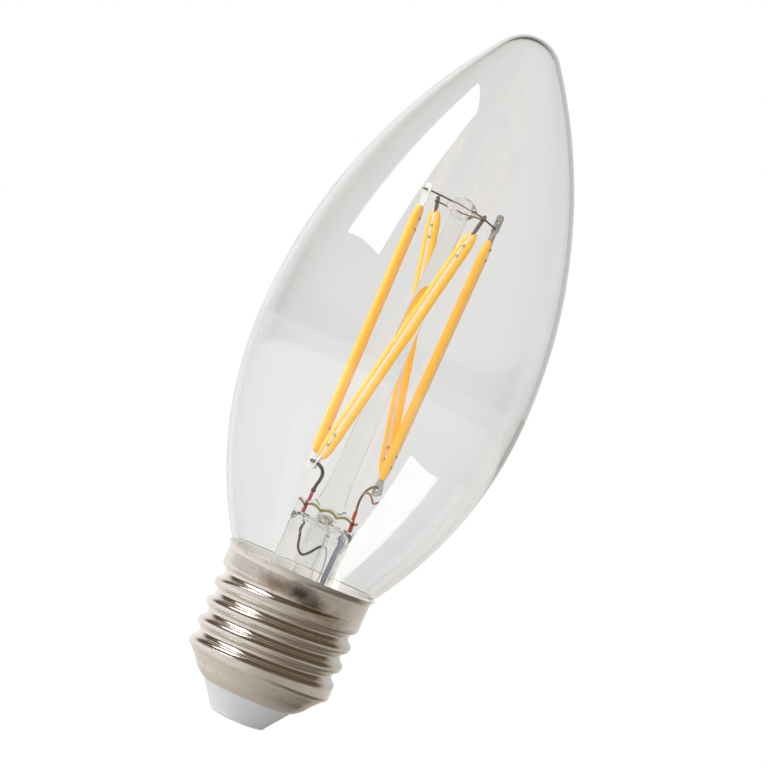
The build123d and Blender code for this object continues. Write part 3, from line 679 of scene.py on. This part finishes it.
frames = {name: filament_frame(*spec[:3]) for name, spec in filament_set_out.items()}
lengths = {name: coat_length - spec[3] for name, spec in filament_set_out.items()}
for name, placed in frames.items():
    shape = joined(bead(*placed, 1, lengths[name]), bead(*placed, -1, lengths[name]))
    piece(f"{name}_beads", shape, finish["phosphor"], "phosphor", f"{name}_filament_coat")
for name, placed in frames.items():
    shape = strip(*placed, lengths[name])
    piece(f"{name}_strip", shape, finish["strip_ceramic"], "filament_strip", f"{name}_filament_strip", sharp=40)

pin_heights, bar_radius = (2.7, 4.7), 0.13
pins, bars = [], []
for placed in frames.values():
    foot, up, edge, across = placed
    for side in (1, -1):
        for low, high in (pin_heights, (coat_length - pin_heights[1], coat_length - pin_heights[0])):
            pins += [pin(*placed, low, side), pin(*placed, high, side)]
            shift = side * (strip_width / 2 + 0.02) * edge
            bars.append(wire([foot + low * up + shift, foot + high * up + shift], bar_radius, aside=across))
piece("filament_pins", joined(*pins), finish["pin_silver"], "tab_metal")
piece("filament_bars", joined(*bars), finish["tab_pale"], "tab_metal")


# Glass stem
def height_on(name, rise):
    """Height of a filament's middle line a given way beyond its coat."""
    foot, up = frames[name][:2]
    return (foot + up * (coat_length + rise))[2]


upper_height, lower_height = height_on("left", upper_wire_rise), height_on("front", lower_wire_rise)
bead_middle = (upper_height + lower_height) / 2
flare_radius = neck_radius - glass_wall
flare_run = flare_radius - tube_radius
flare_arc = (flare_run**2 + (flare_top - flare_start) ** 2) / (2 * flare_run)
flare_centre = (tube_radius + flare_arc, flare_top)


def rounded_rows(rows, columns):
    """Rings that are stretched ovals: half width, half depth, squareness, height and lobes for each row. A squareness of
    2 is an ellipse, and the share of lobes lifts the row in scallops across its width."""
    rows = np.asarray(rows, float)
    a = np.linspace(0, TAU, columns, endpoint=False)
    power = 2 / rows[:, 2:3]
    x = rows[:, :1] * np.sign(np.cos(a)) * np.abs(np.cos(a)) ** power
    y = rows[:, 1:2] * np.sign(np.sin(a)) * np.abs(np.sin(a)) ** power
    z = rows[:, 3:4] + lobe_lift * rows[:, 4:5] * (np.abs(np.cos(math.pi * (x - lobe_shift) / lobe_width)) - 0.5)
    return np.stack([x, y, z], -1)


def stem():
    """Flare, tube, pressed head and post as one skin: from the exhaust tube's round end up to the hollow's top,
    down inside the tube to the flare's edge, then up the outside to the post's round top. The exhaust tube's bore is a
    second, closed skin."""
    def plain(points):
        """Round rows with no lobes, from points of radius and height."""
        r, z = np.asarray(points, float).T
        return np.stack([r, r, 2 + 0 * r, z, 0 * r], -1)

    exhaust_radius, exhaust_end, bore_radius = 2.0, 20.0, 1.3
    tube_top, press_rise, press_half_depth, half = 34.6, 3.0, 2.2, 1.9
    hollow_radius = tube_radius - stem_wall
    inner_arc = flare_arc + stem_wall
    outer_angle = math.degrees(math.asin((flare_top - flare_start) / flare_arc))
    inner_angle = math.degrees(math.asin((flare_top - neck_end) / inner_arc))
    t = np.linspace(0, 1, 12)[1:]
    squash = smooth_step(t)
    shoulder = np.stack([tube_radius + 0.1 * squash, tube_radius - (tube_radius - press_half_depth) * squash,
                         2 + 2.6 * squash, tube_top + press_rise * t, 0 * t], -1)
    hollow_top = [
        (2.1, 2.04, 2, 36.1, 0), (2.6, 2.1, 2, 36.6, 0), (3.2, 2.1, 2, 36.95, 0), (3.9, 2.1, 2.1, 36.95, 0),
        (4.4, 2.35, 2.1, 36.5, 0), (4.65, 3.05, 2.1, 35.8, 0), (4.7, 4.0, 2, 35.0, 0),
    ]
    press_and_foot = [
        (5.72, 2.2, 4.6, 38.1, 0), (5.74, 2.22, 4.6, 38.6, 0.1), (5.72, 2.2, 4.4, 39.0, 0.4),
        (5.6, 2.15, 4.2, 39.35, 0.75), (5.3, 2.02, 4, 39.6, 1), (4.8, 1.9, 3.6, 39.72, 1),
        (4.2, 1.88, 3.1, 39.8, 0.9), (3.6, 1.95, 2.6, 39.95, 0.65), (3.1, 2.03, 2.3, 40.2, 0.35),
        (2.75, 2.1, 2.1, 40.6, 0.12), (2.5, 2.12, 2, 41.2, 0), (2.33, 2.12, 2, 42.0, 0),
        (2.2, 2.1, 2, 43.0, 0), (2.08, 2.05, 2, 44.2, 0),
    ]
    post_top = [(1.6, bead_middle - half), (1.62, bead_middle - 1.4), (1.45, bead_middle - 0.9),
                (1.05, bead_middle - 0.55), (0.5, bead_middle - 0.4)]
    rows = np.concatenate([
        plain(arc((0, exhaust_end + exhaust_radius), exhaust_radius, -90, 0, 8)[1:]),
        plain(along([(exhaust_radius, 22.4), (exhaust_radius, 35.8)], 1.5)),
        hollow_top,
        plain(along([(hollow_radius, 34.4), (hollow_radius, flare_top)], 1.0)),
        plain(arc(flare_centre, inner_arc, 180, 180 + inner_angle, 16)[1:]),
        plain([(flare_radius - 0.15, neck_end), (flare_radius, neck_end + 0.15)]),
        plain(arc(flare_centre, flare_arc, 180 + outer_angle, 180, 16)),
        plain(along([(tube_radius, flare_top + 0.5), (tube_radius, tube_top)], 1.0)),
        shoulder,
        press_and_foot,
        plain(along([(2.0, 45.4), (1.55, bead_middle - half - 0.25)], 2.0)),
        plain(post_top),
    ])
    outside = skin(rounded_rows(rows, 96), (0, 0, exhaust_end), (0, 0, bead_middle - 0.38))
    bore_top = [(0, 38.75), (0.6, 38.72), (1.15, 38.55), (1.5, 38.25), (1.55, 37.95), (1.4, 37.6), (1.3, 37.2)]
    bore = np.concatenate([bore_top, along([(bore_radius, 36.8), (bore_radius, 23.0)], 1.0),
                           arc((0, 22.6), bore_radius, -10, -80, 6), [(0, 21.3)]])
    return joined(outside, turned(bore, 48))


def post_bead():
    """A pinched ball of glass on the post: an ellipsoid whose radius swells in four lobes round it and two up it."""
    radius, half_height = 2.4, 1.8
    q = np.radians(np.linspace(-86, 86, 40))[:, None]
    a = np.linspace(0, TAU, 96, endpoint=False)[None]
    swell = 1 + 0.10 * np.cos(4 * a + 0.6) * np.cos(q) ** 2 + 0.07 * np.cos(4 * q) * np.cos(2 * a - 0.5)
    out = radius * np.cos(q) ** 0.8 * swell
    z = bead_middle + half_height * np.sin(q) * (1 + 0.08 * np.cos(3 * a + 1))
    rings = np.stack([out * np.cos(a), out * np.sin(a), z], -1)
    return skin(rings, (0, 0, bead_middle - half_height), (0, 0, bead_middle + half_height))


piece("stem", stem(), finish["stem_glass"], "stem_glass", "glass_stem")
piece("post_bead", post_bead(), finish["bead_glass"], "stem_glass", "glass_stem")


# Wires
def on_line(name, height):
    """Point of a filament's middle line, drawn on, at a height above the contact."""
    foot, up = frames[name][:2]
    return foot + up * ((height - foot[2]) / up[2])


def strung(start, end, shares, lifts):
    """Points at shares of the way from one point to another, each one lifted."""
    return start + np.outer(shares, end - start) + np.outer(lifts, (0, 0, 1))


def drawn_thin(path):
    """Radius of a cross wire: full at its ends, and drawn thin where the bead's glass holds it."""
    thin, added, bead_edge, rise = 0.085, 0.085, 1.6, 1.4
    away = np.hypot(path[:, 0], path[:, 1])
    return thin + added * smooth_step((away - bead_edge) / rise)


def collared(path):
    """Radius of an inner lead: a short thick collar at its weld to the seal wire, then plain."""
    plain, added, collar_top, fall = 0.31, 0.13, 42.1, 0.25
    return plain + added * smooth_step((collar_top - path[:, 2]) / fall)


def sleeve_taper(path):
    """Radius of the sleeve: drawn in at its upper end."""
    full, drawn_in, taper_start, taper_length = 0.5, 0.22, 35.3, 1.2
    return full - drawn_in * smooth_step((path[:, 2] - taper_start) / taper_length)


upper_cross = strung(on_line("left", upper_height), on_line("right", upper_height - 1.1),
                     (-0.06, 0.08, 0.40, 0.62, 0.78, 0.94, 1.05), (0, 0.25, 0.45, 0.5, 0.45, 0, -0.2))
lower_cross = strung(on_line("front", lower_height), on_line("rear", lower_height),
                     (-0.06, 0.1, 0.5, 0.9, 1.06), (0, 0, -0.25, 0, 0))
left_seal = [(-3.95, 0, 37.2), (-3.9, 0, 38.6), (-3.85, 0, 40.0), (-3.85, 0, 41.5)]
right_seal = [(4.62, 0, 37.4), (4.6, 0, 38.4), (4.48, 0, 39.8), (4.4, 0, 41.4)]
front_hold, left_hold = on_line("front", hook_height), on_line("left", hook_height)
left_lead = [(-3.85, 0, 41.4), (-3.75, -0.2, 42.6), (-3.5, -0.9, 43.8), (-3.5, -2.0, 45.0), (-4.1, -2.7, 45.9),
             front_hold, left_hold, left_hold + (left_hold - front_hold) * 0.25]
rear_hold, right_hold = on_line("rear", hook_height), on_line("right", hook_height + 0.2)
right_lead = [(4.4, 0, 41.3), (4.2, 0.1, 43.0), (4.35, 0.1, 44.6), (4.9, 0.1, 45.8), (5.6, 0.1, 46.4),
              right_hold, rear_hold, rear_hold + (rear_hold - right_hold) * 0.25]
curl = [(4.3, -0.3, 44.3), (4.6, -0.35, 44.9), (5.3, -0.4, 45.0), (6.0, -0.5, 44.4), (6.6, -0.5, 43.75),
        (7.35, -0.4, 44.35)]
left_tail = [(-3.35, -0.6, 35.9), (-3.1, -0.9, 35.2), (-2.6, -1.8, 33.2), (-2.4, -2.1, 32.3), (-1.9, -2.5, 31.4),
             (-1.1, -2.8, 31.0), (-0.3, -2.9, 31.6), (0.6, -3.0, 32.8), (1.3, -3.0, 33.7)]
left_drop = [(1.2, -3.0, 33.6), (1.8, -2.6, 33.9), (2.5, -1.6, 33.0), (3.1, -0.9, 30.0), (3.0, -2.0, 25.0),
             (3.0, -4.6, 20.0), (3.0, -4.6, 16.0)]
left_weld = [(-3.95, 0, 37.5), (-3.75, -0.2, 36.8), (-3.3, -0.65, 35.75)]
sleeve_line = [(4.15, 0, 36.5), (4.15, 0, 34.5), (4.1, 0, 31.0), (4.05, 0, 28.5), (4.2, 0.1, 25.5), (4.9, 0.35, 20.5)]

seal_radius, hook_radius, curl_radius, tail_radius, drop_radius, weld_radius = 0.31, 0.22, 0.2, 0.22, 0.12, 0.26
upright, left_aside, right_aside = (0, 0, 1), (0.3, 0.1, 0.95), (-0.3, 0.1, 0.95)
pale_ends = joined(wire(left_drop, drop_radius), wire(left_weld, weld_radius))
for name, shape, look, slot, node in (
    ("upper_cross", wire(upper_cross, drawn_thin, upright), "cross_brown", "lead_wire", "upper_cross_wire"),
    ("lower_cross", wire(lower_cross, drawn_thin, upright), "cross_brown", "lead_wire", "lower_cross_wire"),
    ("left_seal", wire(left_seal, seal_radius), "seal_red", "red_seal_wire", "left_seal_wire"),
    ("right_seal", wire(right_seal, seal_radius), "seal_orange", "red_seal_wire", "right_seal_wire"),
    ("left_lead", wire(left_lead, collared, left_aside), "lead_brown", "lead_wire", "left_inner_lead"),
    ("right_lead", wire(right_lead, hook_radius, right_aside), "hook_brown", "lead_wire", "right_inner_lead"),
    ("right_lead_curl", wire(curl, curl_radius), "curl_copper", "lead_wire", "right_inner_lead"),
    ("left_tail", wire(left_tail, tail_radius), "lead_brown", "tinned_wire", "left_outer_lead"),
    ("left_drop", pale_ends, "tab_pale", "tinned_wire", "left_outer_lead"),
    ("sleeve", wire(sleeve_line, sleeve_taper), "sleeve_blue", "sleeve", "lead_sleeve"),
):
    piece(name, shape, finish[look], slot, node)


# Camera, light and ground
scene = bpy.context.scene
scene.view_settings.view_transform = "Standard"
scene.cycles.max_bounces = 40
scene.cycles.transmission_bounces = 40
scene.cycles.glossy_bounces = 10

eye = Vector((0, -0.800, 0.081))
aim = Vector((-0.0001, 0, 0.06327))
lean = math.radians(23.88)
forward = (aim - eye).normalized()
right = forward.cross(Vector((0, 0, 1))).normalized()
up = right.cross(forward)
right, up = right * math.cos(lean) + up * math.sin(lean), up * math.cos(lean) - right * math.sin(lean)
camera = bpy.data.objects.new("camera", bpy.data.cameras.new("camera"))
camera.data.sensor_width = 36
camera.data.lens = 217.76
camera.data.clip_start, camera.data.clip_end = 0.05, 50
camera.matrix_world = Matrix.Translation(eye) @ Matrix((right, up, -forward)).transposed().to_4x4()
scene.collection.objects.link(camera)
scene.camera = camera


def softbox(name, centre, facing, width, height, radiance):
    """An upright lamp panel of even radiance; its power is the radiance times pi times the area."""
    data = bpy.data.lights.new(name, "AREA")
    data.shape = "RECTANGLE"
    data.size, data.size_y = width, height
    data.energy = radiance * math.pi * width * height
    obj = bpy.data.objects.new(name, data)
    back = -Vector(facing).normalized()
    side = Vector((0, 0, 1)).cross(back).normalized()
    obj.matrix_world = Matrix.Translation(Vector(centre)) @ Matrix((side, back.cross(side), back)).transposed().to_4x4()
    obj.visible_camera = False
    scene.collection.objects.link(obj)


softbox("key", centre=(-0.598, -0.202, 0.595), facing=(0.848, 0.530, 0), width=0.463, height=0.65, radiance=4.5)

# Directions of the room's paler back and right sides, and of the ground's side that mirrors see with painted floor
# light
back_wall, right_wall, left_side = (-0.35, 0.94, 0), (0.42, 0.91, 0), (-0.924, 0.383, 0)


def studio():
    """White to the camera and through glass. Mirrors see a dark room, paler low down at the back and at the right, and
    rays that have been through much glass see a pale one. Other light falls off to the right."""
    world = bpy.data.worlds.new("studio")
    world.use_nodes = True
    world.node_tree.nodes.clear()
    tree = Tree(world.node_tree)
    path = tree.add("LightPath").outputs
    heading = tree.add("TexCoord").outputs["Generated"]
    apart = tree.apart(heading)
    back = tree.ramp(tree.vector("DOT_PRODUCT", heading, back_wall), 0.78, 0.97, smooth=True)
    low = tree.ramp(apart["Z"], 0.5, 0.85, 1.0, 0.0, smooth=True)
    aside = tree.ramp(tree.vector("DOT_PRODUCT", heading, right_wall), 0.62, 0.95, smooth=True)
    deep = tree.math("GREATER_THAN", path["Transmission Depth"], 4.5)
    dark = tree.mix(deep, (0.115, 0.08, 0.05), (0.85, 0.84, 0.82))
    room = tree.mix(aside, dark, (0.58, 0.58, 0.57))
    room = tree.mix(tree.math("MULTIPLY", back, low), room, (0.95, 0.95, 0.95))
    plain_light = tree.ramp(apart["X"], -0.6, 0.8, 0.95, 0.15)
    unseen = tree.mix(path["Is Glossy Ray"], plain_light, room)
    straight = tree.math("LESS_THAN", path["Glossy Depth"], 0.5)
    lighting = tree.math("GREATER_THAN", path["Diffuse Depth"], 0.5)
    through = tree.math("MULTIPLY", path["Is Transmission Ray"], tree.math("MAXIMUM", straight, lighting))
    seen = tree.math("MAXIMUM", path["Is Camera Ray"], through)
    inside = tree.ramp(apart["X"], -0.6, 0.8, 1.45, 0.75)
    level = tree.mix(lighting, 1.0, inside, "FLOAT")
    background = tree.add("Background", {"Color": tree.mix(seen, unseen, level)})
    tree.add("OutputWorld", {"Surface": background.outputs["Background"]})
    return world


def ground_pale():
    """Pale, its colour darkening to the right beneath the bulb as painted shade, and white to the camera and through
    glass. In mirrors it shows painted light and shade: bright at the left, darker and warmer at the right and beneath
    the object, and it fades far away into the room's tones."""
    made, tree, shader, output = new_material("ground")
    shader.inputs["Roughness"].default_value = 0.9
    path = tree.add("LightPath").outputs
    place = tree.place()
    x = tree.apart(place)["X"]
    # Painted shade: the floor's colour falls from 0.92 at the left to 0.45 at the right beneath the bulb
    tree.link(tree.ramp(x, -0.03, 0.05, 0.92, 0.45), shader.inputs["Base Color"])
    heading, away = tree.vector("NORMALIZE", place), tree.vector("LENGTH", place)
    to_left, to_back, to_right = (
        tree.vector("DOT_PRODUCT", heading, side) for side in (left_side, back_wall, right_wall))
    # Painted light and shade as mirrors see the floor: bright at the left where the lamp falls, darker near the object
    # and at its right
    far = tree.ramp(away, 0.30, 0.65, 0.38, 0.60, smooth=True)
    painted_floor_light = tree.ramp(to_left, -0.887, 0.887, far, 0.98, smooth=True)
    painted_shade_below = tree.ramp(x, -0.06, 0.06, 0.80, 0.13)
    spread = tree.mix(tree.ramp(away, 0.09, 0.25, smooth=True), painted_shade_below, painted_floor_light, "FLOAT")
    in_glass = tree.ramp(path["Transmission Depth"], low=0.45, high=0.98)
    near_right = tree.ramp(to_right, 0.75, 0.97, 0.0, in_glass, smooth=True)
    back_tone = tree.ramp(to_back, 0.70, 0.95, 0.12, 0.95, smooth=True)
    right_tone = tree.ramp(to_right, 0.35, 0.85, 0.0, 0.5, smooth=True)
    faded = tree.mix(tree.ramp(away, 0.95, 1.35, smooth=True), tree.math("MAXIMUM", spread, near_right),
                     tree.math("MAXIMUM", back_tone, right_tone), "FLOAT")
    once = tree.math("GREATER_THAN", path["Glossy Depth"], 0.5)
    unlit = tree.math("LESS_THAN", path["Diffuse Depth"], 0.5)
    reflected = tree.math("MULTIPLY", once, unlit)
    # The painted shade is tinted warmer where the painted floor light is weaker
    warm_painted_shade = tree.math("MULTIPLY", tree.math("SUBTRACT", 1.0, spread, clamp=True), reflected)
    # The floor's emission: white to the camera and through glass, and painted light and shade in mirrors
    painted_glow = tree.add("Emission", {"Color": tree.mix(warm_painted_shade, (1, 1, 1), (1.0, 0.86, 0.70)),
                                 "Strength": tree.mix(reflected, 1.09, faded, "FLOAT")})
    bright = tree.math("MAXIMUM", path["Is Camera Ray"], path["Is Glossy Ray"])
    passed = tree.math("MAXIMUM", bright, path["Is Transmission Ray"])
    sockets = {"Fac": tree.math("MULTIPLY", passed, 0.9), 1: shader.outputs["BSDF"], 2: painted_glow.outputs["Emission"]}
    tree.link(tree.add("MixShader", sockets).outputs["Shader"], output["Surface"])
    return made


scene.world = studio()
ground_height, ground_reach = -0.04, 6
mesh = bpy.data.meshes.new("ground")
corners = [(x * ground_reach, y * ground_reach, ground_height) for x, y in ((-1, -1), (1, -1), (1, 1), (-1, 1))]
mesh.from_pydata(corners, [], [(0, 1, 2, 3)])
ground = bpy.data.objects.new("ground", mesh)
scene.collection.objects.link(ground)
mesh.materials.append(ground_pale())
